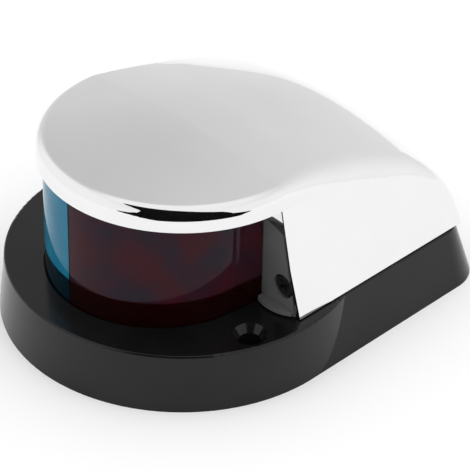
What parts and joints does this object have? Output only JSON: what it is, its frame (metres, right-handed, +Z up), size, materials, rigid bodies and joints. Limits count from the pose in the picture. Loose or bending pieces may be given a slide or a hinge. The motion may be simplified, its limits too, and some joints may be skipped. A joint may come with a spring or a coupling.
{
  "type": "bow navigation light",
  "caption": "Low two-colour bow light: a red and a green lens on a black moulded base, under a chromed hood that lifts off over a double-ended bulb.",
  "frame": {"origin": "middle of the base's underside, on the axis of the cable outlet", "axes": "+Z up from the deck, -Y towards the bow (the round front), +X to port (the red lens)"},
  "size_m": [0.08, 0.0983, 0.0457],
  "materials": {
    "base_black": "satin gloss moulded",
    "bulkhead_black": "satin moulded",
    "foam_rubber": "closed-cell foam",
    "rubber": "smooth",
    "steel": "stainless",
    "black_steel": "blackened",
    "brass": "bright",
    "chrome": "polished",
    "lens_red": "clear moulded, tinted red",
    "lens_green": "clear moulded, tinted blue-green",
    "bulb_glass": "clear",
    "bulb_metal": "plated",
    "tungsten": "drawn wire"
  },
  "bodies": {
    "base_unit": {"base": "base_black", "deck_gasket": "foam_rubber", "cable_grommet": "rubber", "lens_gasket": "rubber", "bulkhead": "bulkhead_black", "bulkhead_screws": "steel", "hood_gasket": "rubber", "hood_screws": "black_steel", "hood_nuts": "brass", "contact_port": "brass", "contact_starboard": "brass", "contact_rivets": "brass", "terminal_tabs": "brass", "terminal_screws": "brass"},
    "hood": {"hood": "chrome"},
    "lenses": {"lens_port": "lens_red", "lens_starboard": "lens_green"},
    "bulb": {"bulb_glass": "bulb_glass", "bulb_caps": "bulb_metal", "bulb_leads": "bulb_metal", "bulb_filament": "tungsten"}
  },
  "joints": [
    {"name": "hood_lift", "type": "slide", "parent": "base_unit", "child": "hood", "axis": [0, 0, 1], "range_m": [0, 0.08]},
    {"name": "lens_lift", "type": "slide", "parent": "base_unit", "child": "lenses", "axis": [0, 0, 1], "range_m": [0, 0.044]},
    {"name": "bulb_lift", "type": "slide", "parent": "base_unit", "child": "bulb", "axis": [0, 0, 1], "range_m": [0, 0.016]}
  ],
  "couplings": [
    {"joint": "lens_lift", "follows": "hood_lift", "ratio": 0.55},
    {"joint": "bulb_lift", "follows": "hood_lift", "ratio": 0.2}
  ]
}
